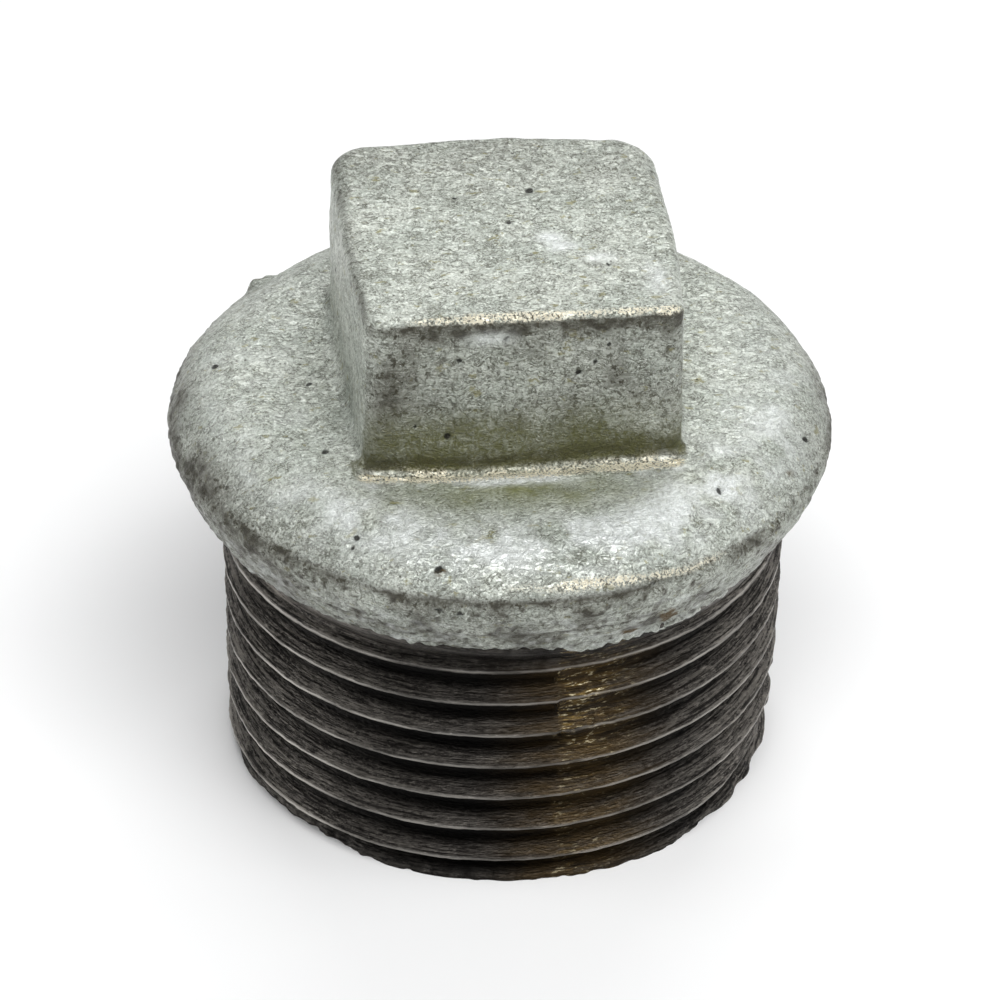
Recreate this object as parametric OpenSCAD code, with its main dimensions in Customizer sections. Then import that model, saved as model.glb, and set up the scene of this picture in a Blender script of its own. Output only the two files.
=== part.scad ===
// Square-head pipe plug with a domed collar and a right-hand male taper pipe thread.
// One iron casting, divided at its natural boundaries into named solids that meet face to face.
// Origin at the centre of the open thread end, +Z along the axis towards the square head.

/* [Thread] */
// Diameter over the thread crests at the gauge plane
thread_gauge_d = 33.249; // [32.6:0.001:33.6]
// Distance from the thread end to the gauge plane
gauge_from_end = 12.7; // [9:0.1:14]
// Distance from one crest to the next along the axis
thread_pitch = 2.309; // [2:0.001:2.6]
// Height of the thread from root to crest, across the radius
thread_depth = 1.479; // [0.8:0.001:1.6]
// Growth of the thread diameter for each millimetre of length
thread_taper = 0.0625; // [0:0.0025:0.0625]
// Width of the crest as a share of the pitch
crest_share = 0.16; // [0.1:0.01:0.25]
// Angle about the axis at which the ridge starts
thread_start_angle = 33; // [0:1:359]
// Share of a turn in which the ridge rises at its start and fades at its end
thread_ramp_turns = 0.5; // [0.2:0.05:1]

/* [Shank and core] */
// Length of the shank that carries the thread
shank_h = 16.3; // [14:0.1:18]
// Chamfer at the thread end
end_chamfer = 0.5; // [0.2:0.1:0.8]
// Diameter of the cored hollow at its mouth
core_mouth_d = 22.4; // [18:0.1:24]
// Diameter of the cored hollow at its closed end
core_end_d = 20.6; // [16:0.1:22]
// Depth of the cored hollow
core_depth = 20; // [19.2:0.1:22]
// Radius between the wall and the closed end of the hollow
core_end_r = 1; // [0.4:0.1:1.4]

/* [Neck] */
// Length of the run-out neck above the shank
neck_h = 1; // [0.6:0.1:2]
// Diameter of the neck where it meets the collar
neck_top_d = 33.8; // [33:0.1:35]

/* [Collar] */
// Largest diameter of the collar, over its rim
collar_d = 39; // [37:0.1:42]
// Diameter of the collar at the parting line of the mould
parting_d = 37; // [35.5:0.1:36.9]
// Height of the drafted underside, from the neck to the parting line
underside_h = 2.3; // [1.6:0.1:3]
// Height of the drafted band, from the parting line to the rim
band_h = 1.8; // [1:0.1:3]
// Height of the upright rim
rim_h = 0.9; // [0.4:0.1:2]
// Height of the rounded shoulder, from the rim to the crown
shoulder_h = 3.2; // [2:0.1:4]
// Diameter of the flat crown that the head stands on
crown_d = 28.4; // [27:0.1:31]

/* [Square head] */
// Width of the head across its flats
head_af = 19; // [16:0.1:19.4]
// Height of the head above the crown, foot included
head_h = 9.7; // [7:0.1:14]
// Radius of the upright edges
head_corner_r = 1.6; // [0.6:0.1:3]
// Radius of the edges round the top face
head_top_r = 0.8; // [0.3:0.1:1.5]
// Radius of the fillet round the foot of the head, and height of the foot
foot_r = 0.8; // [0.3:0.1:1]

/* [Hidden] */

$fn = 96;
zinc_colour = [0.63, 0.66, 0.62];
iron_colour = [0.20, 0.19, 0.18];

// Heights of the boundaries between the solids
neck_z = shank_h;
collar_z = neck_z + neck_h;
parting_z = collar_z + underside_h;
rim_low_z = parting_z + band_h;
rim_high_z = rim_low_z + rim_h;
crown_z = rim_high_z + shoulder_h;
foot_z = crown_z + foot_r;
flat_h = head_h - foot_r;

// Radii that vary with height
function crest_r(z) = (thread_gauge_d + (z - gauge_from_end) * thread_taper) / 2;
function root_r(z) = crest_r(z) - thread_depth;
function core_r(z) = (core_mouth_d + (core_end_d - core_mouth_d) * z / core_depth) / 2;

// Rounding of the collar's shoulder: a curve pulled towards one corner point, which lies
// outside the crown by a share of the shoulder's width and a little above it
shoulder_steps = 14;
shoulder_pull_share = 0.7;
shoulder_pull_lift = 0.1;
shoulder_pull_r = crown_d / 2 + (collar_d - crown_d) / 2 * shoulder_pull_share;
shoulder_start = [collar_d / 2, rim_high_z];
shoulder_pull = [shoulder_pull_r, crown_z + shoulder_pull_lift];
shoulder_end = [crown_d / 2, crown_z];
function curve_point(a, pull, b, t) = a * (1 - t) * (1 - t) + pull * 2 * t * (1 - t) + b * t * t;
shoulder = [for (i = [0 : shoulder_steps])
    curve_point(shoulder_start, shoulder_pull, shoulder_end, i / shoulder_steps)];

// Rounded inner corner at the closed end of the core
core_round_steps = 6;
core_round_x = core_end_d / 2 - core_end_r;
core_round = [for (i = [0 : core_round_steps])
    let (a = 90 - 90 * i / core_round_steps)
    [core_round_x + core_end_r * cos(a), core_depth - core_end_r + core_end_r * sin(a)]];

// Thread ridge: a ring of profile points at every step along the helix. The insets keep it
// inside the shank's length, and the shoulder points round the crest
steps_per_turn = 72;
profile_points = 5;
ridge_inset = 0.3;
ridge_shoulder = 0.93;
ridge_first_z = ridge_inset;
ridge_last_z = shank_h - ridge_inset;
ridge_steps = floor((ridge_last_z - ridge_first_z) / thread_pitch * steps_per_turn);
ramp_steps = thread_ramp_turns * steps_per_turn;
least_rise = 0.05;
crest_half = thread_pitch * crest_share / 2;
base_half = thread_pitch * (1 - crest_share) / 2;

// Share of the full height that the ridge has at step i
function rise(i) = max(least_rise, min(1, i / ramp_steps, (ridge_steps - i) / ramp_steps));

// One profile point: radial share of the ridge's height, and distance from its middle plane
function ridge_point(i, share, dz) =
    let (a = thread_start_angle + 360 * i / steps_per_turn)
    let (z = ridge_first_z + thread_pitch * i / steps_per_turn + dz)
    let (r = root_r(z) + share * rise(i) * thread_depth)
    [r * cos(a), r * sin(a), z];

function ridge_ring(i) =
    let (half = crest_half + (base_half - crest_half) * rise(i))
    [
        ridge_point(i, 0, -half),
        ridge_point(i, ridge_shoulder, -crest_half),
        ridge_point(i, 1, 0),
        ridge_point(i, ridge_shoulder, crest_half),
        ridge_point(i, 0, half)
    ];

// Two triangles between neighbouring rings for each side of the profile
function ridge_side(i, k) =
    let (a = i * profile_points + k)
    let (b = i * profile_points + (k + 1) % profile_points)
    [[a, b, b + profile_points], [a, b + profile_points, a + profile_points]];

module ridge() {
    points = [for (i = [0 : ridge_steps]) each ridge_ring(i)];
    last = ridge_steps * profile_points;
    sides = [for (i = [0 : ridge_steps - 1]) for (k = [0 : profile_points - 1]) each ridge_side(i, k)];
    start_cap = [[for (k = [profile_points - 1 : -1 : 0]) k]];
    end_cap = [[for (k = [0 : profile_points - 1]) last + k]];
    polyhedron(points = points, faces = concat(sides, start_cap, end_cap), convexity = 10);
}

// Square outline with rounded corners, centred on the axis
module rounded_square(width, corner_r) {
    inner = width / 2 - corner_r;
    square([width, 2 * inner], center = true);
    square([2 * inner, width], center = true);
    for (x = [-1, 1], y = [-1, 1]) translate([x * inner, y * inner]) circle(corner_r);
}

// Side view of the head: upright sides and rounded top corners
module head_side_view() {
    inner = head_af / 2 - head_top_r;
    upright_h = flat_h - head_top_r;
    translate([-head_af / 2, 0]) square([head_af, upright_h]);
    translate([-inner, 0]) square([2 * inner, flat_h]);
    for (x = [-1, 1]) translate([x * inner, upright_h]) circle(head_top_r);
}

// The side view drawn out across the whole head
module head_envelope() {
    rotate([90, 0, 0]) linear_extrude(head_af, center = true) head_side_view();
}

module square_head() {
    color(zinc_colour) translate([0, 0, foot_z]) intersection() {
        linear_extrude(flat_h) rounded_square(head_af, head_corner_r);
        head_envelope();
        rotate([0, 0, 90]) head_envelope();
    }
}

// Hollow-curved outline of the fillet, upright against the head
module fillet_outline() {
    difference() {
        square(foot_r);
        translate([foot_r, foot_r]) circle(foot_r);
    }
}

// Straight length of the fillet along one flat
module fillet_side() {
    length = head_af - 2 * head_corner_r;
    translate([head_af / 2, 0, 0]) rotate([90, 0, 0]) linear_extrude(length, center = true)
        fillet_outline();
}

// Quarter turn of the fillet round one upright edge
module fillet_corner() {
    inner = head_af / 2 - head_corner_r;
    translate([inner, inner, 0]) rotate_extrude(angle = 90) translate([head_corner_r, 0])
        fillet_outline();
}

// The head's foot: its lowest slice, with the fillet that spreads it onto the crown
module head_foot() {
    color(zinc_colour) translate([0, 0, crown_z]) {
        linear_extrude(foot_r) rounded_square(head_af, head_corner_r);
        for (turn = [0 : 3]) rotate([0, 0, 90 * turn]) {
            fillet_side();
            fillet_corner();
        }
    }
}

module collar() {
    inside = [[core_r(collar_z), collar_z]];
    outside = [
        [neck_top_d / 2, collar_z],
        [parting_d / 2, parting_z],
        [collar_d / 2, rim_low_z]
    ];
    color(zinc_colour) rotate_extrude()
        polygon(concat([[0, core_depth]], core_round, inside, outside, shoulder, [[0, crown_z]]));
}

module neck() {
    color(iron_colour) rotate_extrude() polygon([
        [core_r(neck_z), neck_z],
        [root_r(neck_z), neck_z],
        [neck_top_d / 2, collar_z],
        [core_r(collar_z), collar_z]
    ]);
}

module shank() {
    color(iron_colour) rotate_extrude() polygon([
        [core_r(0), 0],
        [root_r(0) - end_chamfer, 0],
        [root_r(end_chamfer), end_chamfer],
        [root_r(neck_z), neck_z],
        [core_r(neck_z), neck_z]
    ]);
}

module male_thread() {
    color(iron_colour) ridge();
}

square_head();
head_foot();
collar();
neck();
shank();
male_thread();
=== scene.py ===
import math

import bpy
import numpy as np
from mathutils import Matrix, Vector


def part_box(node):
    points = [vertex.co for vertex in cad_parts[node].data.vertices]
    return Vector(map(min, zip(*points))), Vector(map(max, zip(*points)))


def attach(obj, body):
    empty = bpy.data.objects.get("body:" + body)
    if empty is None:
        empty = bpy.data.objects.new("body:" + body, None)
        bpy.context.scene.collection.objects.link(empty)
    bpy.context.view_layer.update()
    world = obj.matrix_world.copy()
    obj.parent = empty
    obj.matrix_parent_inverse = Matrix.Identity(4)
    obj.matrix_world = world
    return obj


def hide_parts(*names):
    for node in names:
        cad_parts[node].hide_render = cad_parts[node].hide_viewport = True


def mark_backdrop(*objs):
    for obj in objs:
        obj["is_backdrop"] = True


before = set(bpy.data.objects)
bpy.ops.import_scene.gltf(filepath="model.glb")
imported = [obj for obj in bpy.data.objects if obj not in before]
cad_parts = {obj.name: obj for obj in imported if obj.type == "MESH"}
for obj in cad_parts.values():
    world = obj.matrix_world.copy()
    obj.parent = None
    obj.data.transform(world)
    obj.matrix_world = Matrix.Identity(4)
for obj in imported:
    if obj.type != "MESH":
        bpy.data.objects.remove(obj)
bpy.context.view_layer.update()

# Lengths in this script are millimetres until a mesh is made. MM turns them into Blender's metres.
MM = 0.001


# ---- sizes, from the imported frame

def box_mm(node):
    """Lowest and highest corner of a CAD node, in millimetres."""
    low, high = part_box(node)
    return np.array(low) / MM, np.array(high) / MM


HEAD_HIGH = box_mm("square_head")[1]
FOOT_LOW, FOOT_HIGH = box_mm("head_foot")
COLLAR_LOW, COLLAR_HIGH = box_mm("collar")
NECK_LOW = box_mm("neck")[0]

HEAD_HALF = HEAD_HIGH[0]
TOP_Z = HEAD_HIGH[2]
FOOT_Z = FOOT_HIGH[2]
CROWN_Z = FOOT_LOW[2]
FOOT_R = FOOT_Z - CROWN_Z
COLLAR_R = COLLAR_HIGH[0]
COLLAR_Z = COLLAR_LOW[2]
NECK_Z = NECK_LOW[2]

# The real head sits a little behind and to the right of the collar's centre, and the thread
# a little to the right of it
HEAD_BACK_SHIFT = 0.25
HEAD_RIGHT_SHIFT = 0.25
THREAD_SHIFT = (0.26, -0.03, 0)

# Thread form: the standard 1 inch taper pipe thread that the CAD model carries
PITCH = 2.309
DEPTH = 1.479
GAUGE_R = 33.249 / 2
GAUGE_Z = 12.7
TAPER = 1 / 32
CREST_HALF = 0.06
FLANK_RUN = math.tan(math.radians(27.5))
START_ANGLE = math.radians(33)
START_Z = 0.3

# Hollow core and the seat between the neck and the collar
CORE_MOUTH_R = 11.2
CORE_END_R = 10.3
CORE_DEPTH = 20.0
CORE_ROUND = 1.0
SEAT_Z = COLLAR_Z + 1.0
SEAT_R = 16.5

# Collar outline. Its front edge is raised, its back left sags and its back right is flattened
PARTING_Z = COLLAR_Z + 2.5
RIM_LOW_Z = COLLAR_Z + 4.1
RIM_HIGH_Z = COLLAR_Z + 5.0
CROWN_R = 14.2
UNDERSIDE_R = 16.85
DRAFT_R = 17.75
PARTING_R = 18.65
RIM_R = COLLAR_R - 0.12
SHOULDER_R = 16.7
FRONT_RAISE = 0.75
BACK_SAG = 0.45
BACK_FLAT = 0.30

FULL_TURN = 2 * math.pi
# Directions round the axis in degrees: 0 is the part's right
FRONT = -90
LEFT = 180


# ---- smooth noise on a lattice

LATTICE = 64
# Keeps the lattice's planes away from the part's axis
LATTICE_SHIFT = 17.3
_lattices = {}


def lattice(seed):
    if seed not in _lattices:
        _lattices[seed] = np.random.default_rng(seed).uniform(-1, 1, (LATTICE, LATTICE, LATTICE))
    return _lattices[seed]


def noise(points, cell, seed):
    """Smooth noise from -1 to 1 at points (..., 3). cell is the lump size, one or one for each axis."""
    table = lattice(seed)
    scaled = np.asarray(points) / np.asarray(cell, float) + LATTICE_SHIFT
    base = np.floor(scaled).astype(int)
    t = scaled - base
    t = t * t * t * (t * (t * 6 - 15) + 10)
    total = 0
    for dx in (0, 1):
        wx = t[..., 0] if dx else 1 - t[..., 0]
        for dy in (0, 1):
            wy = t[..., 1] if dy else 1 - t[..., 1]
            for dz in (0, 1):
                wz = t[..., 2] if dz else 1 - t[..., 2]
                index = [(base[..., axis] + d) % LATTICE for axis, d in enumerate((dx, dy, dz))]
                total = total + wx * wy * wz * table[index[0], index[1], index[2]]
    return total


def layered(points, cell, seed, layers=3):
    """Noise at several sizes, each half as large and half as strong as the last."""
    total = 0
    for layer in range(layers):
        total = total + noise(points, np.asarray(cell, float) / 2 ** layer, seed + layer) / 2 ** layer
    return total


def step_up(x, low, high):
    """0 below low, 1 above high, smooth between."""
    t = np.clip((x - low) / (high - low), 0, 1)
    return t * t * (3 - 2 * t)


def step_down(x, low, high):
    """1 below low, 0 above high, smooth between."""
    return 1 - step_up(x, low, high)


def ridge_at(x, centre, width):
    """A soft ridge of height 1 at a centre."""
    return np.exp(-((x - centre) / width) ** 2)


def bump_at(points, centre, size):
    """A soft spot of height 1 round a centre. size is one radius or one for each axis."""
    d = (np.asarray(points) - np.asarray(centre, float)) / np.asarray(size, float)
    return np.exp(-np.sum(d * d, axis=-1))


def spot_on(points, centre, size):
    """A soft spot on a surface, round the point of it that lies nearest to centre."""
    away = np.sum((points - np.asarray(centre, float)) ** 2, axis=-1)
    return bump_at(points, points.reshape(-1, 3)[np.argmin(away)], size)


def soft_min(a, b, width):
    h = np.clip(0.5 + 0.5 * (b - a) / width, 0, 1)
    return b * (1 - h) + a * h - width * h * (1 - h)


def soft_max(a, b, width):
    return -soft_min(-a, -b, width)


# ---- blemishes and painted highlights, in the row frame

# Pits in the cast skin: centre, radius, depth. FACE is the head's front face
TOP = TOP_Z - 0.1
FRONT_TOP = TOP_Z - 0.15
FACE = HEAD_BACK_SHIFT - HEAD_HALF
PITS = [
    ((1.9, 3.9, TOP), 0.36, 0.24),
    ((-2.5, 3.5, TOP), 0.20, 0.20),
    ((-2.6, 3.0, TOP), 0.28, 0.08),
    ((0.4, 0.8, TOP), 0.30, 0.12),
    ((1.1, -0.7, TOP), 0.32, 0.08),
    ((5.5, -4.1, TOP), 0.22, 0.12),
    ((1.4, 7.8, TOP), 0.20, 0.10),
    ((-3.6, FACE, 32.3), 0.18, 0.16),
    ((3.4, FACE, 31.1), 0.28, 0.24),
    ((4.3, FACE, 32.0), 0.24, 0.18),
    ((5.1, FACE, 33.1), 0.18, 0.14),
    ((-0.8, FACE, 33.6), 0.36, 0.10),
    ((-6.1, FACE, 28.2), 0.20, 0.16),
    ((-4.2, FACE, 27.5), 0.26, 0.14),
    ((-11.1, -7.3, 25.5), 0.32, 0.22),
    ((-10.0, -14.8, 24.4), 0.24, 0.18),
    ((-10.2, -15.2, 24.0), 0.22, 0.18),
    ((-11.5, -0.4, 25.5), 0.26, 0.18),
    ((-11.2, 0.6, 25.5), 0.18, 0.12),
    ((-16.6, 2.3, 25.0), 0.28, 0.20),
    ((11.3, -12.7, 24.9), 0.28, 0.26),
    ((17.0, -6.6, 24.0), 0.26, 0.22),
    ((-5.5, -17.6, 24.1), 0.34, 0.20),
    ((-5.7, -18.6, 21.7), 0.26, 0.26),
    ((-4.4, -18.9, 21.6), 0.22, 0.22),
    ((6.9, -18.0, 22.6), 0.50, 0.10),
    ((7.8, -17.6, 22.4), 0.36, 0.08),
    ((13.8, 10.2, 25.0), 0.30, 0.22),
    ((-4.0, 16.4, 24.9), 0.32, 0.24),
    ((6.5, 13.2, 25.5), 0.26, 0.18),
    ((-HEAD_HALF, 4.0, 30.2), 0.26, 0.20),
    ((HEAD_HALF, -2.6, 31.0), 0.30, 0.20),
    ((HEAD_HALF, 3.8, 28.6), 0.22, 0.18),
    ((2.4, HEAD_HALF, 30.8), 0.34, 0.22),
    ((-4.6, HEAD_HALF, 28.8), 0.24, 0.18),
]

# Lumps that stand proud of the cast skin: centre, radius, height
LUMPS = [
    ((-13.3, 13.3, 23.4), 0.60, 0.60),
    ((-12.7, 13.8, 23.7), 0.40, 0.30),
    ((-7.8, 7.9, TOP), 0.55, 0.14),
    ((-6.5, FACE, 32.9), 1.20, 0.08),
    ((13.4, 13.4, 22.6), 0.80, 0.30),
    ((15.6, 10.6, 22.4), 0.60, 0.20),
    ((12.0, -4.0, 25.4), 0.50, 0.06),
    ((-13.0, -12.0, 24.2), 0.50, 0.06),
]

# Painted highlights on smeared, shiny zinc: centre, radius along each axis
HIGHLIGHT_SPOTS = [
    ((2.5, -1.1, TOP), (0.8, 0.5, 1)),
    ((3.2, -2.1, TOP), (0.8, 0.5, 1)),
    ((5.3, -3.4, TOP), (0.9, 0.5, 1)),
    ((8.1, -6.0, TOP), (0.7, 1.5, 1)),
    ((-1.8, FACE, 33.8), (1.1, 1, 0.4)),
]

# Rust and brown stains: centre, radius, strength
STAINS = [
    ((7.8, -16.2, 19.2), (0.45, 0.8, 1.2), 1.1),
    ((8.1, -15.7, 18.4), (0.5, 0.6, 0.8), 1.0),
    ((5.6, -16.8, 18.2), (0.8, 0.6, 0.5), 0.8),
    ((-5.3, -17.9, 24.0), (0.8, 0.6, 0.3), 0.5),
    ((15.2, -9.6, 23.2), (0.6, 0.6, 0.6), 0.4),
    ((-13.3, 13.3, 23.4), 0.7, 0.65),
]


# ---- shapes

def turn_gap(angle, towards):
    """Signed turn from one direction to an angle, from -pi to pi."""
    return (angle - towards + math.pi) % FULL_TURN - math.pi


def facing(angle, towards, width):
    """1 where the angle points in a direction, falling to 0 at width on either side, in degrees."""
    return step_down(np.abs(turn_gap(angle, math.radians(towards))), 0, math.radians(width))


def square_reach(angle, half, corner):
    """Distance from the axis to a rounded square's outline."""
    folded = np.abs((angle + math.pi / 4) % (math.pi / 2) - math.pi / 4)
    inner = half - corner
    along = inner * (np.cos(folded) + np.sin(folded))
    arc = along + np.sqrt(np.maximum(along ** 2 - 2 * inner ** 2 + corner ** 2, 0))
    return np.where(half * np.tan(folded) <= inner, half / np.cos(folded), arc)


def crest_radius(z):
    return GAUGE_R + (z - GAUGE_Z) * TAPER


def core_radius(z):
    return CORE_MOUTH_R + (CORE_END_R - CORE_MOUTH_R) * z / CORE_DEPTH


def ring(radius, z, angles):
    """One ring of points. radius and z are single numbers or one for each angle."""
    radius = np.broadcast_to(radius, angles.shape)
    height = np.broadcast_to(z, angles.shape)
    return np.stack([radius * np.cos(angles), radius * np.sin(angles), height], axis=-1)


def even_angles(count):
    return np.arange(count) / count * FULL_TURN


def grid_normals(rows):
    """Unit normals of a grid of rings, from the directions along and across it."""
    around = np.roll(rows, -1, axis=1) - np.roll(rows, 1, axis=1)
    across = np.gradient(rows, axis=0)
    normal = np.cross(around, across)
    size = np.linalg.norm(normal, axis=-1, keepdims=True)
    return normal / np.maximum(size, 1e-9)


def ring_faces(count, columns, loop=False):
    """Quads between each ring and the next. With loop, the last ring joins the first."""
    here = np.arange(columns)
    after = (here + 1) % columns
    pairs = [(row, row + 1) for row in range(count - 1)] + ([(count - 1, 0)] if loop else [])
    return np.concatenate([np.stack([a * columns + here, a * columns + after,
                                     b * columns + after, b * columns + here], axis=1) for a, b in pairs])


def weld(points):
    """First index of every different place, and the place that each point goes to."""
    _, first, place = np.unique(np.round(points, 4), axis=0, return_index=True, return_inverse=True)
    return first, place.ravel()


def tidy_face(corners):
    """A face without repeated corners, or None if fewer than three are left."""
    kept = [corner for i, corner in enumerate(corners) if corner != corners[i - 1]]
    return kept if len(kept) >= 3 and len(set(kept)) == len(kept) else None


def mark_creases(mesh, crease):
    """Makes the edges whose two ends are in crease sharp."""
    ends = np.zeros(len(mesh.edges) * 2, int)
    mesh.edges.foreach_get("vertices", ends)
    sharp = crease[ends].reshape(-1, 2).all(axis=1)
    mesh.attributes.new("sharp_edge", "BOOLEAN", "EDGE").data.foreach_set("value", sharp)


def make_piece(name, points, faces, crease, masks):
    """Closed mesh object from points in millimetres. crease and masks hold one value for each point."""
    first, place = weld(points)
    kept = [face for face in map(tidy_face, place[faces].tolist()) if face]
    mesh = bpy.data.meshes.new(name)
    mesh.from_pydata((points[first] * MM).tolist(), [], kept)
    mesh.polygons.foreach_set("use_smooth", [True] * len(mesh.polygons))
    mark_creases(mesh, crease[first])
    for mask, values in masks.items():
        layer = mesh.attributes.new(mask, "FLOAT", "POINT")
        layer.data.foreach_set("value", np.clip(values[first], 0, 1).astype(np.float32))
    mesh.update()
    piece = bpy.data.objects.new(name, mesh)
    bpy.context.scene.collection.objects.link(piece)
    return piece


def skin_piece(name, before, shown, after, masks):
    """A piece whose seen rows are closed by hidden rings before and after them."""
    rows = np.array(list(before) + list(shown) + list(after))
    crease = np.zeros(rows.shape[:2], bool)
    crease[len(before)] = True
    crease[len(before) + len(shown) - 1] = True
    flat = {}
    for mask, values in masks.items():
        full = np.zeros(rows.shape[:2])
        full[len(before):len(before) + len(shown)] = values
        flat[mask] = full.ravel()
    faces = ring_faces(len(rows), rows.shape[1], loop=True)
    return make_piece(name, rows.reshape(-1, 3), faces, crease.ravel(), flat)


# ---- the cast skin, as one grid of rings

SKIN_COLUMNS = 680
SKIN_STEP = 0.17
SKIN_INSET = 0.06
COLLAR_ROWS = 76
HEAD_SPREAD = 0.06
HEAD_CROWNING = 0.08
HEAD_TILT = 0.025
HEAD_NARROWING = 0.036
HEAD_DRAFT = 0.064
HEAD_FOOT_REACH = 0.03
EDGE_ROWS = 9
FOOT_ROWS = 12


def head_corner(angle):
    """Radius of the upright edges: sharpest at the front right, roundest at the back right."""
    right_back = 1.7 * facing(angle, 45, 42)
    left_back = 1.0 * facing(angle, 135, 42)
    right_front = 0.3 * facing(angle, -45, 42)
    return 1.25 + right_back + left_back - right_front


def head_edge(angle):
    """Radius of the edge round the top: crispest at the front, softest at the back right."""
    right_back = 0.8 * facing(angle, 45, 50)
    left_back = 0.4 * facing(angle, 135, 40)
    return 0.62 - 0.22 * facing(angle, FRONT, 58) + right_back + left_back


def head_outline(angle, inset=0.0):
    """Distance from the axis to the head's flats, less an inset."""
    corner = np.maximum(head_corner(angle) - inset, 0.25)
    return square_reach(angle, HEAD_HALF + HEAD_SPREAD - inset, corner)


def spread_evenly(points, count):
    """The same line with a set number of points, evenly apart."""
    length = np.concatenate([[0], np.cumsum(np.linalg.norm(np.diff(points, axis=0), axis=1))])
    places = np.linspace(0, length[-1], count)
    return np.stack([np.interp(places, length, points[:, axis]) for axis in (0, 1)], axis=1)


def collar_outline(rim_top, pull):
    """Outside of the collar from its lower edge to the crown, as radius and height."""
    upright = [(UNDERSIDE_R, COLLAR_Z), (DRAFT_R, COLLAR_Z + 1.15), (PARTING_R, PARTING_Z),
               (RIM_R - 0.08, RIM_LOW_Z), (RIM_R, RIM_LOW_Z + 0.3), (RIM_R, rim_top - 0.12)]
    start = np.array([RIM_R - 0.10, rim_top + 0.06])
    end = np.array([CROWN_R, CROWN_Z - SKIN_INSET])
    shoulder = [start * (1 - t) ** 2 + pull * 2 * t * (1 - t) + end * t ** 2 for t in np.linspace(0, 1, 20)]
    return spread_evenly(np.array(upright + [tuple(spot) for spot in shoulder]), COLLAR_ROWS)


def raised_front(angle):
    """1 where the collar's front edge is raised."""
    return step_up(facing(angle, -98, 46), 0, 0.7)


def collar_rings(angles):
    """Rings up the collar, from a plain outline to a higher and squarer one at the front."""
    worn = 0.05 * noise(ring(8.0, 0, angles), 4.0, 71) - BACK_FLAT * facing(angles, 42, 16)
    sag = BACK_SAG * facing(angles, 135, 30)
    front = raised_front(angles)
    plain = collar_outline(RIM_HIGH_Z, np.array([17.9, CROWN_Z + 0.1]))
    squarer = collar_outline(RIM_HIGH_Z + FRONT_RAISE, np.array([17.7, CROWN_Z - 0.1]))
    rows = []
    for round_spot, square_spot in zip(plain, squarer):
        radius = round_spot[0] + (square_spot[0] - round_spot[0]) * front
        z = round_spot[1] + (square_spot[1] - round_spot[1]) * front
        radius = radius + worn * step_up(z, COLLAR_Z, RIM_LOW_Z) * step_down(z, CROWN_Z - 1.5, CROWN_Z)
        sunk = step_up(z, RIM_HIGH_Z + 0.2, CROWN_Z - 1.5) * step_down(z, CROWN_Z - 0.6, CROWN_Z)
        rows.append(ring(radius, z - sag * sunk, angles))
    return rows


def crown_rings(angles):
    """Rings from the shoulder in to the foot of the head, where a circle turns into a square."""
    foot = head_outline(angles) + FOOT_R
    count = int((CROWN_R - HEAD_HALF - FOOT_R) / SKIN_STEP) + 4
    rows = []
    for i in range(1, count):
        share = i / count
        dip = SKIN_INSET + 0.05 * math.sin(math.pi * share)
        rows.append(ring(CROWN_R * (1 - share) + foot * share, CROWN_Z - dip, angles))
    return rows


def foot_rings(angles):
    """Rings up the fillet that spreads the head onto the crown. It is tightest at the front."""
    reach = head_outline(angles)
    steepness = 1 + 1.6 * facing(angles, FRONT, 60)
    turns = [math.pi / 2 * i / FOOT_ROWS for i in range(FOOT_ROWS + 1)]
    return [ring(reach + FOOT_R * (1 - math.sin(turn)),
                 CROWN_Z - SKIN_INSET + (FOOT_R + SKIN_INSET) * (1 - math.cos(turn)) ** steepness, angles)
            for turn in turns]


def head_rings(angles):
    """Rings up the flats, round the edge and in to the middle of the top."""
    reach = head_outline(angles)
    edge = head_edge(angles)
    top = TOP_Z - SKIN_INSET
    count = int((top - FOOT_Z) / SKIN_STEP)
    rows = [ring(reach, FOOT_Z + (top - edge - FOOT_Z) * i / count, angles) for i in range(1, count + 1)]
    for i in range(1, EDGE_ROWS + 1):
        turn = math.pi / 2 * i / EDGE_ROWS
        outline = head_outline(angles, edge * (1 - math.cos(turn)))
        rows.append(ring(outline, top - edge + edge * math.sin(turn), angles))
    inner = head_outline(angles, edge)
    count = int(HEAD_HALF / SKIN_STEP)
    for i in range(1, count + 1):
        share = 1 - i / count
        rows.append(ring(inner * share, top + HEAD_CROWNING * (1 - share ** 2), angles))
    rows = np.array(rows)
    tilt = HEAD_TILT * (np.maximum(rows[..., 1], 0) - 0.3 * rows[..., 0])
    rows[..., 2] += tilt * step_up(rows[..., 2], FOOT_Z, top)
    return list(rows)


def cast_relief(points):
    """Height of the cast, zinc-dipped skin over its plain shape."""
    swell = 0.09 * noise(points, 7.0, 11) + 0.05 * noise(points, 2.6, 12)
    wrinkle = 0.028 * layered(points, (1.7, 0.8, 0.8), 21, 2)
    grain = 0.018 * noise(points, (0.6, 0.42, 0.42), 31)
    relief = swell + wrinkle + grain
    for centre, radius, depth in PITS:
        relief = relief - depth * spot_on(points, centre, radius)
    for centre, radius, height in LUMPS:
        relief = relief + height * spot_on(points, centre, radius)
    return relief


def parting_line(points):
    """Fine line that the two halves of the mould leave round the rim."""
    angle = np.arctan2(points[..., 1], points[..., 0])
    strength = 0.35 + 0.5 * noise(points, 3.5, 51) + 0.6 * facing(angle, -88, 40)
    wander = 0.12 * noise(points * (1, 1, 0), 6.0, 52)
    return ridge_at(points[..., 2], PARTING_Z + wander, 0.10) * np.clip(strength, 0, 1)


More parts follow.
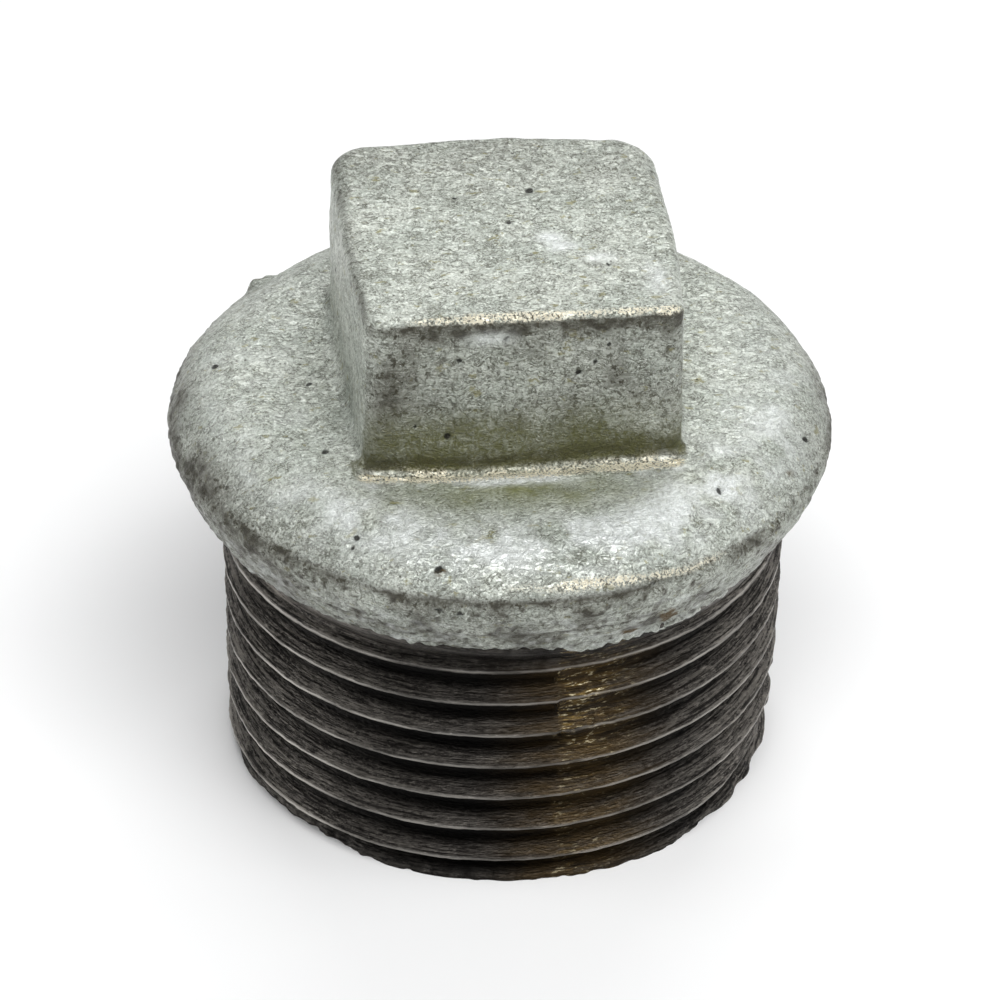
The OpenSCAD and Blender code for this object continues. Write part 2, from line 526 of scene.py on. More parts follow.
def edge_crumbs(points):
    """Zinc that ends in crumbs where the thread tool stopped."""
    near = step_down(points[..., 2], COLLAR_Z + 0.3, COLLAR_Z + 1.3)
    band = step_down(points[..., 2], RIM_HIGH_Z, RIM_HIGH_Z + 1.2)
    crumbs = 0.16 * noise(points, 0.42, 61) + 0.12 * np.maximum(noise(points, 1.3, 62), 0)
    return near * crumbs + band * (0.07 * noise(points, 0.34, 68) + 0.06 * noise(points, 0.9, 69))


def lower_edge_lift(points, angle):
    """How far the zinc's lower edge stands above its plain height: ragged, and cut a little askew."""
    ragged = 0.13 * noise(points, 0.32, 65) + 0.10 * noise(points, 0.9, 66)
    turn = np.degrees(-turn_gap(angle, 0))
    left = step_up(turn, 78, 92) * step_down(turn, 150, 170)
    flap = facing(angle, -80, 6) * (0.6 + 0.5 * noise(points, 0.35, 67))
    right = 0.30 * facing(angle, -62, 26)
    return ragged + 0.45 * left - 0.45 * flap - right


def foot_bulge(points):
    """How far the front of the foot stands out, most of all left of its middle."""
    near_foot = step_down(points[..., 2], CROWN_Z + 0.6, CROWN_Z + 4)
    return 0.45 * ridge_at(points[..., 0], -2.5, 5.5) * near_foot


def front_strip(points, back, height, size):
    """A strip along the head's front at a height. back is how far it lies behind the face."""
    across = step_down(np.abs(points[..., 0]), HEAD_HALF - 0.7, HEAD_HALF + 0.3)
    y = points[..., 1] + foot_bulge(points)
    return ridge_at(y, FACE + back, size[0]) * ridge_at(points[..., 2], height, size[1]) * across


def rough_foot(points):
    """Rougher metal along the foot of the head and along its front top edge."""
    foot = ridge_at(points[..., 2], CROWN_Z + 0.25, 0.5)
    inside = step_down(np.abs(points[..., :2]).max(axis=-1), HEAD_HALF + 0.9, HEAD_HALF + 1.5)
    top = bump_at(points * (0, 1, 1), (0, FACE + 0.4, FRONT_TOP), (1, 0.5, 0.4))
    trough = 0.32 * front_strip(points, -0.45, CROWN_Z, (0.55, 0.5))
    return (foot * inside + top) * (0.05 * noise(points, 0.5, 63) + 0.05 * noise(points, 1.3, 64)) - trough


def cast_skin():
    """The whole cast skin with its relief, and the rows where the foot and the head start."""
    angles = even_angles(SKIN_COLUMNS)
    parts = [collar_rings(angles), crown_rings(angles), foot_rings(angles), head_rings(angles)]
    rows = np.array([row for part in parts for row in part])
    foot_start = len(parts[0]) + len(parts[1])
    share = np.clip((np.arange(len(rows)) - len(parts[0])) / len(parts[1]), 0, 1)
    rows[..., 0] += HEAD_RIGHT_SHIFT * share[:, None]
    rows[..., 1] += HEAD_BACK_SHIFT * share[:, None]
    on_head = step_up(share, 0.6, 1)[:, None] * step_up(-rows[..., 1], 0, HEAD_HALF)
    rows[..., 0] *= 1 - HEAD_NARROWING * on_head
    rise = np.clip((rows[..., 2] - CROWN_Z) / (TOP_Z - CROWN_Z), 0, 1)
    rows[..., 1] *= 1 + (HEAD_FOOT_REACH - HEAD_DRAFT * rise) * on_head
    rows[..., 1] -= foot_bulge(rows) * on_head
    relief = cast_relief(rows) - 0.10 * parting_line(rows) + edge_crumbs(rows) + rough_foot(rows)
    rows = rows + grid_normals(rows) * relief[..., None]
    for row, share in enumerate((1, 0.8, 0.6, 0.4, 0.2)):
        rows[row, :, 2] += lower_edge_lift(rows[0], angles) * share
    rows[-1] = rows[-2].mean(axis=0)
    return rows, foot_start, foot_start + FOOT_ROWS


def wear_and_highlight_mask(points, angle, outer):
    """Pale edges, rubbed zinc with a painted highlight: the head's front edge, the front of its foot and
    the collar's front right edge.
    """
    top_edge = front_strip(points, 0.45, FRONT_TOP - 0.05, (0.34, 0.26)) * step_up(points[..., 0], -8, -4)
    # Mostly painted highlight: the fillet at the front of the foot
    foot_edge = front_strip(points, -0.90, CROWN_Z, (0.52, 0.6))
    rim_z = RIM_HIGH_Z + 0.3 + FRONT_RAISE * raised_front(angle)
    rim_edge = ridge_at(points[..., 2], rim_z, 0.28) * facing(angle, -75, 33) * outer
    return (top_edge + 1.5 * foot_edge + 0.9 * rim_edge) * (0.9 + 0.6 * noise(points, 1.1, 91))


def face_dirt_and_shade(points, front):
    """Painted shade and dirt on the head's front face: painted shade over it and along its foot, a darker
    band under its edge and dirt at its left.
    """
    under_edge = front * ridge_at(points[..., 2], FRONT_TOP - 0.6, 0.4) * (1 + 0.6 * noise(points, 0.8, 93))
    # Painted shade in the corner at the foot of the face
    foot_shade = front_strip(points, -0.12, CROWN_Z + 0.35, (0.36, 0.6))
    front_left = front * bump_at(points, (-7.0, FACE, 31.5), (2.6, 2, 2.6))
    # Darker over the whole face, more at its right: painted shade with a darker tone
    even = (0.27 + 0.14 * step_up(points[..., 0], 2, 8)) * front
    return even + 1.1 * under_edge + 1.9 * foot_shade + 0.22 * front_left


def head_dirt(points):
    """Dirt along the left edge of the head's top and over its back."""
    y, z = points[..., 1], points[..., 2]
    edge = (HEAD_RIGHT_SHIFT - HEAD_HALF + 0.35, 0, TOP - 0.15)
    left_edge = bump_at(points * (1, 0, 1), edge, (0.35, 1, 0.4)) * (np.abs(y) < HEAD_HALF)
    back_top = step_up(y, 0, HEAD_HALF) * (z > TOP - 0.4)
    return 0.6 * left_edge + 0.3 * back_top


def rim_dirt_and_shade(points, angle, outer):
    """Painted shade under the collar's front edge, and painted shade with dirt on its band and on its left
    and right limbs.
    """
    z = points[..., 2]
    # Painted shade under the collar's raised front edge
    shade = ridge_at(z, RIM_HIGH_Z + 0.25, 0.38) * facing(angle, -95, 70) * outer
    band = step_up(z, COLLAR_Z, COLLAR_Z + 0.3) * step_down(z, RIM_HIGH_Z + 0.2, RIM_HIGH_Z + 0.8)
    sides = np.maximum(facing(angle, LEFT, 70), 0.6 * facing(angle, 0, 55))
    # Painted shade on the left and right limbs, with dirt
    limb_shade = step_down(z, RIM_HIGH_Z + 0.9, CROWN_Z - 0.6) * sides * outer
    return 0.78 * shade + 0.3 * band + 0.8 * limb_shade


def spotty_dirt(points, front, outer):
    """Broad spots on the front face and the rim, and small ones on the rim."""
    z = points[..., 2]
    broad = np.maximum(noise(points, 1.5, 94), 0) * (front + 1.5 * outer * (z < RIM_HIGH_Z + 0.5))
    small = np.maximum(noise(points, 0.42, 101) - 0.30, 0) * outer * (z < RIM_HIGH_Z + 0.3)
    return 0.5 * broad + 2 * small


def grime_and_shade_mask(points, angle, outer, front):
    """Painted shade and grey-brown dirt: on the front face, under edges, round the rim, on the limbs and
    along the parting groove.
    """
    dirt = face_dirt_and_shade(points, front) + head_dirt(points)
    dirt = dirt + rim_dirt_and_shade(points, angle, outer) + spotty_dirt(points, front, outer)
    # The darker line along the parting groove is painted shade
    return dirt * (0.85 + 0.5 * noise(points, 2.2, 92)) + 0.7 * parting_line(points) * outer


def painted_highlight_mask(points, angle):
    """Painted highlights: on smeared spots, the front shoulder, the fillet in front of the head and the
    crown's sides, and pale patches on the band.
    """
    z = points[..., 2]
    radius = np.hypot(points[..., 0], points[..., 1])
    painted_highlight = sum(spot_on(points, centre, size) for centre, size in HIGHLIGHT_SPOTS)
    # Painted highlight on the front shoulder
    shoulder = ridge_at(radius, SHOULDER_R, 1.6) * facing(angle, -79, 92) * (z > RIM_HIGH_Z + 0.3)
    on_crown = step_up(radius, 11.5, 13) * step_down(radius, 17, 18.6) * (z < CROWN_Z + 0.3)
    # Painted light on the crown's right and left
    sides = on_crown * (0.28 * facing(angle, -25, 70) + 0.20 * facing(angle, LEFT, 70))
    # Painted highlight on the fillet in front of the head
    foot = front_strip(points, -1.55, CROWN_Z, (0.50, 0.5))
    patches = np.maximum(noise(points, 0.45, 99) + 0.5 * noise(points, 1.4, 99), 0)
    patches = patches * (radius > 16.5) * step_down(z, RIM_LOW_Z - 0.8, RIM_LOW_Z + 0.2)
    uneven = 0.66 + 0.9 * noise(points, 1.7, 95) + 0.5 * noise(points, 0.7, 102)
    painted_highlight = painted_highlight * (1.0 + 0.6 * noise(points, 1.3, 91))
    return painted_highlight + (1.40 * shoulder + 1.2 * foot + sides) * uneven + 0.5 * patches


def face_mask(x, y, z):
    """1 on the head's front face."""
    depth = step_up(FACE - y, -0.9, -0.5) * step_up(y, FACE - 0.85, FACE - 0.5)
    height = step_up(z, CROWN_Z - 0.2, CROWN_Z + 0.05) * step_down(z, FRONT_TOP - 0.4, FRONT_TOP - 0.1)
    return depth * height * (np.abs(x) < HEAD_HALF + 0.2)


def cast_masks(points):
    """Where the cast skin is worn, dirty, filmed over, pitted and stained, and where shade, a reflection
    and highlights are painted on it.
    """
    x, y, z = points[..., 0], points[..., 1], points[..., 2]
    angle = np.arctan2(y, x)
    outer = np.hypot(x, y) > 17
    front = face_mask(x, y + foot_bulge(points), z)
    # Darker towards the foot of the front face: painted shade with an olive film
    base = front * step_down(z, FOOT_Z, FOOT_Z + 3.9)
    # Olive apron in front of the head: dirt, and a painted reflection of the head's dark front face
    apron_dirt_and_reflection = bump_at(points, (0.8, FACE - 2.9, CROWN_Z), (7.5, 1.9, 2.0)) * (z < CROWN_Z + 0.3)
    pit = sum(spot_on(points, centre, size * 0.9) * min(1, depth / 0.16) for centre, size, depth in PITS)
    pit = pit * (1 + 0.5 * noise(points, 0.3, 96))
    rust = sum(amount * spot_on(points, centre, size) for centre, size, amount in STAINS)
    rust = rust * (1 + 0.6 * noise(points, 0.4, 100))
    return {"wear_and_highlight": wear_and_highlight_mask(points, angle, outer), "grime_and_shade": grime_and_shade_mask(points, angle, outer, front),
            "film_and_shade": 1.25 * base * (0.85 + 0.5 * noise(points, 2.2, 92)),
            "apron_dirt_and_reflection": apron_dirt_and_reflection * (0.9 + 0.5 * noise(points, 1.6, 92)),
            "painted_highlight": painted_highlight_mask(points, angle), "pit": pit, "rust": rust}


SKIN, FOOT_ROW, HEAD_ROW = cast_skin()
SKIN_MASKS = cast_masks(SKIN)


def mask_rows(first, last):
    return {name: values[first:last] for name, values in SKIN_MASKS.items()}


# Height of the hidden sheet where the collar and the foot both close
CLOSED_Z = CROWN_Z - 0.5


def shrink(row, share, z):
    """A hidden ring inside a seen one, at one height."""
    return row * (share, share, 0) + (0, 0, z)


def cast_collar():
    """Domed collar with its rim, parting line and crown, closed round the blind end of the core."""
    angles = even_angles(SKIN_COLUMNS)
    shown = SKIN[:FOOT_ROW + 1]
    core = [ring(CORE_END_R * share, CORE_DEPTH, angles) for share in (0, 0.2, 0.4, 0.6, 0.8)]
    for turn in np.linspace(0, math.pi / 2, 7):
        radius = CORE_END_R - CORE_ROUND + CORE_ROUND * math.sin(turn)
        core.append(ring(radius, CORE_DEPTH - CORE_ROUND + CORE_ROUND * math.cos(turn), angles))
    seat = [ring(core_radius(SEAT_Z), SEAT_Z, angles), ring(SEAT_R, SEAT_Z, angles),
            ring(SEAT_R, COLLAR_Z + 0.3, angles)]
    inside = [shrink(shown[-1], share, CLOSED_Z) for share in (1, 0.5, 0)]
    hidden = np.array(core + seat) + THREAD_SHIFT
    return skin_piece("cast_collar", hidden, shown, inside, mask_rows(0, FOOT_ROW + 1))


def cast_foot():
    """Fillet between the crown and the head."""
    shown = SKIN[FOOT_ROW:HEAD_ROW + 1]
    below = [shrink(shown[0], share, CLOSED_Z) for share in (0, 0.5, 1)]
    above = [shrink(shown[-1], share, FOOT_Z) for share in (0.6, 0.3, 0)]
    return skin_piece("cast_foot", below, shown, above, mask_rows(FOOT_ROW, HEAD_ROW + 1))


def cast_head():
    """The wrench head: upright flats, worn edges and a slightly crowned top."""
    shown = SKIN[HEAD_ROW:]
    below = [shrink(shown[0], share, FOOT_Z) for share in (0, 0.3, 0.6)]
    return skin_piece("cast_head", below, shown, [], mask_rows(HEAD_ROW, len(SKIN)))


# ---- the cut thread

THREAD_COLUMNS = 560
SLEEVE_R = 14.2
# Radius of the most worn crests. The run-out rises from RUNOUT_Z to RUNOUT_R, under the collar
WORN_R = 16.62
RUNOUT_Z = 14.7
RUNOUT_R = 16.7
# Radius of the burr at the open end, and the cone that cuts the first crest short
BURR_R = 15.95
END_CONE_R = 16.0
END_CONE_SLOPE = 0.4
TEAR_ANGLE = math.radians(-85)
CHIPS = [
    # angle, height, width along the thread, height of the notch, depth
    (-16, 2.2, 0.8, 0.35, 0.9),
    (-11, 4.4, 0.7, 0.30, 0.7),
    (-24, 1.7, 4.5, 0.7, 0.8),
    (-135, 0.2, 2.0, 0.3, 0.4),
    (-46, 0.4, 1.8, 0.4, 0.5),
    (118, 6.2, 0.7, 0.35, 0.5),
]


def row_offsets():
    """Heights of the mesh rows within one pitch: closest beside the crest."""
    root = CREST_HALF + DEPTH * FLANK_RUN
    beside = [0.035, CREST_HALF, 0.10, 0.14, 0.22, 0.34, 0.50, 0.67, root]
    return np.array([0.0] + beside + [PITCH / 2] + [PITCH - spot for spot in reversed(beside)])


def torn(angle, z):
    """Where the thread tool tore the metal: a strip at the front that starts with a step."""
    spot = ring(GAUGE_R, z, angle)
    after = np.degrees(turn_gap(angle, TEAR_ANGLE)) + 0.9 * noise(spot, (4, 4, 0.5), 97)
    strip = step_up(after, 0, 0.8) * step_down(after, 2, 24)
    strip = strip * (0.28 + 0.72 * step_up(z, 7.0, 11.5))
    return strip * np.clip(0.75 + 0.6 * noise(spot, (1.8, 1.8, 0.7), 98), 0, 1)


def chip_depth(angle, z):
    """Depth of the notches knocked out of the crests and of the end."""
    depth = 0 * z
    for centre, height, width, tall, amount in CHIPS:
        along = turn_gap(angle, math.radians(centre)) * GAUGE_R / width
        depth = depth + amount * np.exp(-along ** 2 - ((z - height) / tall) ** 2)
    return depth


def from_crest(angle, z):
    """Distance along the axis to the nearest crest."""
    turns = (z - START_Z) / PITCH - turn_gap(angle, START_ANGLE) / FULL_TURN
    return np.abs(turns - np.round(turns)) * PITCH


def helical_thread(spot, z, away, tear, root):
    """Radius of the thread from its worn crests down its flanks to its roots."""
    worn = 0.005 * z + 0.04 * noise(spot, 2.2, 81) + 0.03 * noise(spot, 0.7, 82)
    streaks = 0.018 * noise(spot, (1.6, 1.6, 0.22), 88) + 0.022 * noise(spot, (0.35, 0.35, 0.25), 89)
    rough = tear * (0.12 * noise(spot, (0.9, 0.9, 0.3), 83) + 0.10 * noise(spot, 0.4, 84))
    crest = soft_min(crest_radius(z), WORN_R, 0.1) - worn - 0.15 * tear
    flank = crest_radius(z) - (away - CREST_HALF) / FLANK_RUN
    return soft_max(soft_min(crest, flank, 0.02), root, 0.10) + rough + streaks


def neck_grooves(z):
    """Depth of the two fine grooves that the tool leaves beside the neck's lower edge."""
    return 0.10 * ridge_at(z, NECK_Z + 0.25, 0.08) + 0.05 * ridge_at(z, NECK_Z - 0.25, 0.08)


def end_burr(spot, angle, z, root):
    """Radius of the ragged burr that closes the first groove at the open end."""
    calm = 1 - 0.8 * facing(angle, -5, 48)
    ragged = calm * (0.12 * noise(spot, 0.45, 86) + 0.16 * noise(spot, 1.1, 87))
    ragged = ragged - 0.35 * facing(angle, -143, 22)
    return root + (BURR_R - root) * step_down(z, 0.15, 0.75) + ragged * step_down(z, 0.3, 0.9)


def broken_end(spot, angle, z):
    """Depth to which the open end is broken away at the front right."""
    return 0.7 * facing(angle, -26, 36) * step_down(z, 0.5, 2.2) * (0.7 + 0.5 * noise(spot, 1.7, 90))


def cut_masks(angle, z, radius, runout, away, tear):
    """Where the cut iron has bright crests with a painted highlight, painted shade in its roots, over its
    front and at its open end, a torn strip and oil.
    """
    # Crests: worn bright metal with a painted highlight, dimmed at the front right
    crest = step_down(away, CREST_HALF * 0.4, CREST_HALF + 0.06) * (radius > runout + 0.02)
    crest = crest * (1 - 0.35 * facing(angle, -38, 40))
    # Painted shade in the thread's roots
    thread_shade = step_down(radius, crest_radius(z) - 0.92 * DEPTH, crest_radius(z) - 0.50 * DEPTH)
    # Painted shade over the ragged burr at the open end
    end_shade = step_down(z, 0.6, 1.0) * (1 - facing(angle, -5, 52))
    return {"crest": crest * (1 - end_shade),
            "thread_shade": np.maximum(thread_shade * (1 - 0.6 * tear), 0.55 * end_shade),
            "tear": tear,
            "oil": facing(angle, -78, 26) * step_down(z, NECK_Z - 0.8, NECK_Z),
            # Painted shade across the front of the thread
            "front_shade": facing(angle, -91, 70)}


def cut_surface(angle, z):
    """Radius of the cut surface and its masks: helical thread, rough end, run-out under the collar."""
    spot = ring(GAUGE_R, z, angle)
    away = from_crest(angle, z)
    tear = torn(angle, z)
    root = crest_radius(z) - DEPTH + 0.50 * tear + 0.02 * noise(spot, 3.0, 85)
    runout = root + (RUNOUT_R - root) * step_up(z, RUNOUT_Z, COLLAR_Z + 0.1)
    radius = helical_thread(spot, z, away, tear, root)
    radius = soft_max(radius, runout, 0.05) - neck_grooves(z)
    radius = soft_max(radius, end_burr(spot, angle, z, root), 0.05)
    radius = radius - chip_depth(angle, z) - broken_end(spot, angle, z)
    masks = cut_masks(angle, z, radius, runout, away, tear)
    return soft_min(radius, END_CONE_R + END_CONE_SLOPE * z, 0.08), masks


def helix_faces(index, per_pitch):
    """Quads of rows that follow the helix. The last column joins the first, one pitch up."""
    inner = np.stack([index[:-1, :-1], index[:-1, 1:], index[1:, 1:], index[1:, :-1]], axis=-1)
    start, end = index[per_pitch:, 0], index[:-per_pitch, -1]
    seam = np.stack([end[:-1], start[:-1], start[1:], end[1:]], axis=-1)
    return np.concatenate([inner.reshape(-1, 4), seam])


def cut_thread():
    """The cut thread as one sleeve. Its rows follow the helix, so that its crests stay crisp."""
    offsets = row_offsets()
    angles = even_angles(THREAD_COLUMNS)
    turns = np.arange(-2, int(NECK_Z / PITCH) + 3)
    phase = START_Z - START_ANGLE / FULL_TURN * PITCH
    heights = (turns[:, None] * PITCH + offsets).ravel() + phase
    z = np.clip(heights[:, None] + PITCH * angles / FULL_TURN, 0, NECK_Z)
    turn = np.broadcast_to(angles, z.shape)
    radius, masks = cut_surface(turn, z)
    outer = ring(radius, z, turn)
    count = outer.shape[0]
    low_r, low_masks = cut_surface(angles, 0 * angles)
    high_r, high_masks = cut_surface(angles, 0 * angles + NECK_Z)
    closing = np.array([ring(high_r, NECK_Z, angles), ring(SLEEVE_R, NECK_Z, angles),
                        ring(SLEEVE_R, 0, angles), ring(low_r, 0, angles)])
    points = np.concatenate([outer.reshape(-1, 3), closing.reshape(-1, 3)])
    faces = np.concatenate([helix_faces(np.arange(z.size).reshape(z.shape), len(offsets)),
                            ring_faces(4, THREAD_COLUMNS) + z.size])
    crease = np.zeros(points.shape[0], bool)
    crease[(points[:, 2] <= 0) | (points[:, 2] >= NECK_Z)] = True
    flat = {name: np.concatenate([values.ravel(), np.zeros(closing.shape[0] * closing.shape[1])])
            for name, values in masks.items()}
    return make_piece("cut_thread", points + THREAD_SHIFT, faces, crease, flat)


def cut_neck():
    """Plain cone where the thread runs out under the collar."""
    angles = even_angles(THREAD_COLUMNS)
    levels = np.linspace(NECK_Z, SEAT_Z, 14)
    shown, masks = [], []
    for z in levels:
        radius, found = cut_surface(angles, 0 * angles + z)
        shown.append(ring(radius, z, angles))
        masks.append(found)
    inside = [ring(core_radius(SEAT_Z), SEAT_Z, angles), ring(core_radius(NECK_Z), NECK_Z, angles)]
    rows = {name: np.array([found[name] for found in masks]) for name in masks[0]}
    return skin_piece("cut_neck", [], np.array(shown) + THREAD_SHIFT, np.array(inside) + THREAD_SHIFT, rows)


def cut_shank():
    """Wall inside the thread: the rough core and the ring of its open end."""
    angles = even_angles(THREAD_COLUMNS)
    levels = np.linspace(NECK_Z, 0.5, 40)
    core = np.array([ring(core_radius(z), z, angles) for z in levels])
    rough = 0.10 * noise(core, 2.4, 75) + 0.05 * noise(core, 0.8, 76)
    core = core + core * (1, 1, 0) / CORE_MOUTH_R * rough[..., None]
    mouth = [ring(core_radius(0) + 0.12, 0.2, angles), ring(core_radius(0) + 0.35, 0, angles)]
    outside = [ring(SLEEVE_R, 0, angles), ring(SLEEVE_R, NECK_Z, angles)]
    rows = np.array(list(core) + mouth + outside)
    crease = np.zeros(rows.shape[:2], bool)
    crease[[0, len(core) + 1, len(rows) - 2, len(rows) - 1]] = True
    cavity = np.ones(rows.shape[:2]) * (np.arange(len(rows)) < len(core) + 1)[:, None]
    faces = ring_faces(len(rows), rows.shape[1], loop=True)
    points = rows.reshape(-1, 3) + THREAD_SHIFT
    return make_piece("cut_shank", points, faces, crease.ravel(), {"cavity": cavity.ravel()})


# ---- materials

class Look:
    """Short calls for building the nodes of one material."""

    def __init__(self, name):
        self.material = bpy.data.materials.new(name)
        self.material.use_nodes = True
        self.tree = self.material.node_tree
        self.tree.nodes.clear()

    def node(self, kind, inputs=None, output=0, **settings):
        made = self.tree.nodes.new(kind)
        for key, value in settings.items():
            setattr(made, key, value)
        for key, value in (inputs or {}).items():
            if isinstance(value, bpy.types.NodeSocket):
                self.tree.links.new(value, made.inputs[key])
            else:
                made.inputs[key].default_value = value
        return made.outputs[output] if len(made.outputs) else None

    def place(self, scale=1.0):
        """Place on the object in millimetres, stretched by scale."""
        where = self.node("ShaderNodeTexCoord", output="Object")
        factor = np.broadcast_to(scale, 3) / MM
        return self.node("ShaderNodeVectorMath", {0: where, 1: factor.tolist()}, operation="MULTIPLY")

    def cloud(self, where, scale, detail=3.0, rough=0.55, twist=0.0):
        """Noise from 0 to 1."""
        return self.node("ShaderNodeTexNoise", {"Vector": where, "Scale": scale, "Detail": detail,
                                                "Roughness": rough, "Distortion": twist})

    def mask(self, name):
        return self.node("ShaderNodeAttribute", output="Fac", attribute_name=name)

    def math(self, operation, a, b=0.0):
        return self.node("ShaderNodeMath", {0: a, 1: b}, operation=operation)

    def between(self, value, low, high, out_low=0.0, out_high=1.0):
        """value from low to high turned into out_low to out_high, with soft ends."""
        return self.node("ShaderNodeMapRange", {"Value": value, "From Min": low, "From Max": high,
                                                "To Min": out_low, "To Max": out_high},
                         interpolation_type="SMOOTHSTEP")

    def blend(self, share, a, b):
        """Colour a turned into colour b by share."""
        return self.node("ShaderNodeMix", {0: share, 6: a, 7: b}, output=2, data_type="RGBA")

    def cover(self, base, layers):
        """A base colour under layers, each a (share, colour) pair."""
        for share, tint in layers:
            base = self.blend(share, base, tint)
        return base

    def masked(self, name, texture, low, high, out_low, out_high):
        """A mask of the mesh, made uneven by a texture."""
        uneven = self.between(texture, low, high, out_low, out_high)
        return self.math("MULTIPLY", self.mask(name), uneven)

    def finish(self, colour, metallic, roughness, bumps):
        """Joins it all to one shader. bumps are (height, distance in millimetres) pairs."""
        normal = None
        for height, distance in bumps:
            inputs = {"Height": height, "Distance": distance * MM, "Strength": 1.0}
            if normal:
                inputs["Normal"] = normal
            normal = self.node("ShaderNodeBump", inputs)
        shader = self.node("ShaderNodeBsdfPrincipled", {"Base Color": colour, "Metallic": metallic,
                                                        "Roughness": roughness, "Normal": normal})
        self.node("ShaderNodeOutputMaterial", {"Surface": shader})
        return self.material


def linear(value):
    """Light of a screen value from 0 to 255."""
    value = value / 255
    return value / 12.92 if value <= 0.04045 else ((value + 0.055) / 1.055) ** 2.4


def colour(red, green, blue):
    """A colour given by its screen values from 0 to 255."""
    return (linear(red), linear(green), linear(blue), 1.0)


def zinc_metal(look, stretched, broad, mottle, fine, grit, crease):
    """Colour of clean zinc: cloudy and gritty, with painted shade in its fine hollows and creases, painted
    glints, and a few olive and dark spots.
    """
    base = look.blend(look.between(broad, 0.35, 0.65), colour(193, 200, 190), colour(216, 221, 211))
    lines = look.math("MULTIPLY", look.between(crease, 0.0, 0.042, 0.9, 0), look.between(mottle, 0.3, 0.6))
    olive = look.cloud(stretched, 1.5, 4, 0.65)
    spots = look.node("ShaderNodeTexVoronoi", {"Vector": look.place(), "Scale": 1.05}, output="Distance")
    return look.cover(base, [
        (look.between(mottle, 0.35, 0.68, 0, 0.5), colour(166, 171, 160)),
        # Painted shade in the hollows of the fine bumps
        (look.between(fine, 0.28, 0.55, 0.70, 0), colour(122, 126, 113)),
        # Painted glints on the grit
        (look.between(grit, 0.50, 0.70, 0, 0.80), colour(238, 242, 235)),
        (look.between(grit, 0.46, 0.28, 0, 0.60), colour(92, 92, 80)),
        # Painted shade along the creases of the wrinkles
        (lines, colour(78, 78, 64)),
        (look.between(olive, 0.61, 0.68, 0, 0.75), colour(142, 138, 90)),
        (look.between(spots, 0.10, 0.05, 0, 0.85), colour(62, 58, 46)),
    ])


def zinc_dirt(look, base, mottle, fine, grit):
    """The metal under its dirt, painted shade, olive film, painted reflection, painted highlights, worn
    edges, pits and rust.
    """
    grime_and_shade = look.masked("grime_and_shade", mottle, 0.25, 0.7, 1.25, 0.65)
    dirtier = look.math("ADD", look.mask("grime_and_shade"), 0.25)
    specks = look.math("MULTIPLY", look.between(look.cloud(look.place(), 2.7, 3, 0.6), 0.56, 0.62), dirtier)
    wear_and_highlight = look.masked("wear_and_highlight", grit, 0.40, 0.58, 0.1, 1.3)
    rust = look.masked("rust", mottle, 0.3, 0.6, 0.6, 1.3)
    return look.cover(base, [
        # Painted shade with dirt, darkest where it is strongest
        (grime_and_shade, colour(86, 84, 74)),
        (look.between(grime_and_shade, 0.75, 1.15, 0, 0.65), colour(46, 44, 34)),
        (specks, colour(70, 68, 56)),
        # Painted shade with an olive film at the foot of the front face
        (look.masked("film_and_shade", fine, 0.3, 0.7, 1.05, 0.55), colour(98, 99, 64)),
        # Olive dirt with a painted reflection of the head's front face
        (look.masked("apron_dirt_and_reflection", mottle, 0.3, 0.65, 1.0, 0.62), colour(124, 127, 80)),
        # Painted highlights, with pale patches on the band
        (look.masked("painted_highlight", fine, 0.3, 0.6, 0.45, 0.9), colour(238, 242, 240)),
        # Pale worn edges with a painted highlight
        (look.between(wear_and_highlight, 0.12, 0.85), colour(238, 231, 208)),
        (look.masked("wear_and_highlight", grit, 0.44, 0.36, 0, 1), colour(86, 72, 44)),
        (look.between(look.mask("pit"), 0.3, 0.65, 0, 0.94), colour(24, 23, 16)),
        (look.between(rust, 0.3, 0.8, 0, 0.95), colour(86, 66, 22)),
    ])


def zinc_look():
    """Weathered hot-dip zinc: pale grey-green, wrinkled, with worn edges, dirt, and painted shade,
    reflection, highlights and glints.
    """
    look = Look("zinc_coat")
    mm = look.place()
    stretched = look.place((0.62, 1.0, 1.0))
    broad = look.cloud(mm, 0.28, 3)
    mottle = look.cloud(mm, 1.1, 4, 0.6)
    fine = look.cloud(mm, 3.0, 4, 0.68, 0.5)
    grit = look.cloud(mm, 7.0, 2, 0.6)
    worms = look.cloud(stretched, 2.3, 3, 0.6, 1.0)
    crease = look.math("ABSOLUTE", look.math("SUBTRACT", worms, 0.5))
    metal = zinc_metal(look, stretched, broad, mottle, fine, grit, crease)
    base = zinc_dirt(look, metal, mottle, fine, grit)
    roughness = look.between(fine, 0.3, 0.7, 0.52, 0.30)
    bumps = [(look.between(crease, 0.0, 0.10), 0.05), (fine, 0.08), (grit, 0.04)]
    return look.finish(base, 0.45, roughness, bumps)


def turned_streaks(look, along, across, detail):
    """Noise in streaks round the axis. along and across say how often it changes each way."""
    mm = look.place()
    flat = look.node("ShaderNodeVectorMath", {0: mm, 1: (1, 1, 0)}, operation="MULTIPLY")
    radius = look.node("ShaderNodeVectorMath", {0: flat}, output="Value", operation="LENGTH")
    heading = look.node("ShaderNodeVectorMath", {0: flat}, operation="NORMALIZE")
    where = look.node("ShaderNodeCombineXYZ", {
        0: look.math("MULTIPLY", look.node("ShaderNodeSeparateXYZ", {0: heading}, output="X"), along),
        1: look.math("MULTIPLY", look.node("ShaderNodeSeparateXYZ", {0: heading}, output="Y"), along),
        2: look.math("MULTIPLY", radius, across)})
    height = look.math("MULTIPLY", look.node("ShaderNodeSeparateXYZ", {0: mm}, output="Z"), across)
    return look.node("ShaderNodeTexNoise", {"Vector": where, "W": height, "Scale": 1.0, "Detail": detail,
                                            "Roughness": 0.6}, noise_dimensions="4D")


